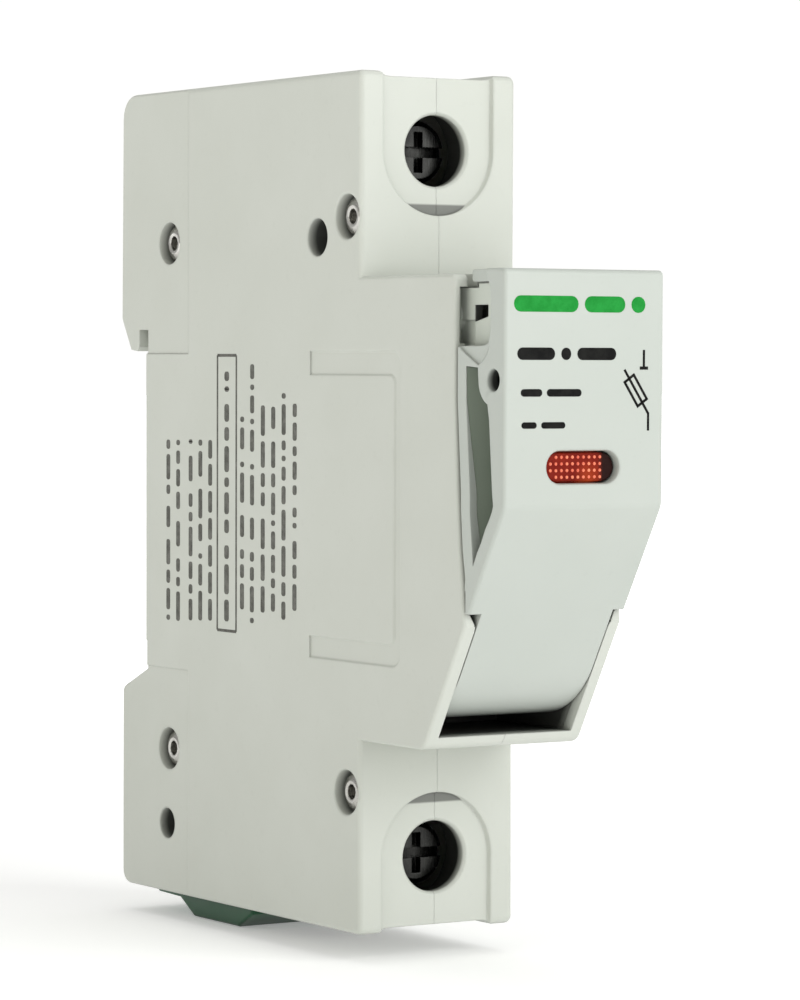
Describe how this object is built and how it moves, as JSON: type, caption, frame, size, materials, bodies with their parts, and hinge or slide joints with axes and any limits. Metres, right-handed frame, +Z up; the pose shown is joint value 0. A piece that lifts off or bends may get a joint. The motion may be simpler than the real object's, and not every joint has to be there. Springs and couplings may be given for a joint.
{
  "type": "cartridge fuse holder",
  "caption": "Rail-mounted cartridge fuse holder with a hinged fuse carrier, screw clamp terminals, an indicator window and a sliding rail clip.",
  "frame": {"origin": "on the mounting rail's front plane, at the rail's centre line and at mid-width", "axes": "+Z up along the holder's height, -Y towards the front face with the handle, X across the 18 mm width"},
  "size_m": [0.018, 0.0736, 0.0867],
  "materials": {
    "housing_plastic": "fine satin moulded thermoplastic, warm light grey",
    "handle_plastic": "fine satin moulded thermoplastic, light grey",
    "carrier_plastic": "satin moulded thermoplastic",
    "contact_metal": "tin-plated copper alloy",
    "zinc_steel": "bright zinc plate",
    "spring_steel": "plain spring steel",
    "plated_cap": "bright nickel plate",
    "fuse_ceramic": "glazed white ceramic, opaque",
    "clip_green": "semi-gloss green moulded plastic",
    "indicator_red": "clear red, gridded",
    "circuit_board": "green solder mask",
    "lamp_body": "clear amber",
    "resistor_body": "glossy lacquer"
  },
  "bodies": {
    "base": {"left_shell": "housing_plastic", "right_shell": "housing_plastic", "rivet_a": "zinc_steel", "rivet_b": "zinc_steel", "rivet_c": "zinc_steel", "rivet_d": "zinc_steel", "upper_contact": "contact_metal", "lower_contact": "contact_metal", "upper_jaw_spring": "spring_steel", "lower_jaw_spring": "spring_steel", "din_clip_spring": "spring_steel"},
    "carrier": {"fuse_carrier": "carrier_plastic", "handle": "handle_plastic", "fuse_tube": "fuse_ceramic", "fuse_cap_upper": "plated_cap", "fuse_cap_lower": "plated_cap", "fuse_element": "plated_cap", "indicator_lens": "indicator_red", "indicator_board": "circuit_board", "indicator_lamp": "lamp_body", "resistor_a": "resistor_body", "resistor_b": "resistor_body", "upper_lead": "spring_steel", "lower_lead": "spring_steel"},
    "upper_screw": {"upper_terminal_screw": "zinc_steel"},
    "upper_cage": {"upper_clamp_cage": "zinc_steel"},
    "lower_screw": {"lower_terminal_screw": "zinc_steel"},
    "lower_cage": {"lower_clamp_cage": "zinc_steel"},
    "rail_clip": {"din_clip": "clip_green"}
  },
  "joints": [
    {"name": "carrier_hinge", "type": "hinge", "parent": "base", "child": "carrier", "pos_m": [0, -0.057, 0.0185], "axis": [-1, 0, 0], "range_deg": [0, 70]},
    {"name": "upper_screw_turn", "type": "hinge", "parent": "base", "child": "upper_screw", "pos_m": [0, -0.037, 0.0349], "axis": [0, 1, 0], "range_deg": [0, 2255]},
    {"name": "upper_cage_slide", "type": "slide", "parent": "base", "child": "upper_cage", "axis": [0, -1, 0], "range_m": [0, 0.005]},
    {"name": "lower_screw_turn", "type": "hinge", "parent": "base", "child": "lower_screw", "pos_m": [0, -0.037, -0.0343], "axis": [0, 1, 0], "range_deg": [0, 2255]},
    {"name": "lower_cage_slide", "type": "slide", "parent": "base", "child": "lower_cage", "axis": [0, -1, 0], "range_m": [0, 0.005]},
    {"name": "rail_clip_slide", "type": "slide", "parent": "base", "child": "rail_clip", "axis": [0, 0, -1], "range_m": [0, 0.004], "stiffness_N_per_m": 900, "springref_m": -0.004, "deforming": ["din_clip_spring"]}
  ],
  "couplings": [
    {"joint": "upper_screw_turn", "follows": "upper_cage_slide", "rad_per_m": 7854},
    {"joint": "lower_screw_turn", "follows": "lower_cage_slide", "rad_per_m": 7854}
  ]
}
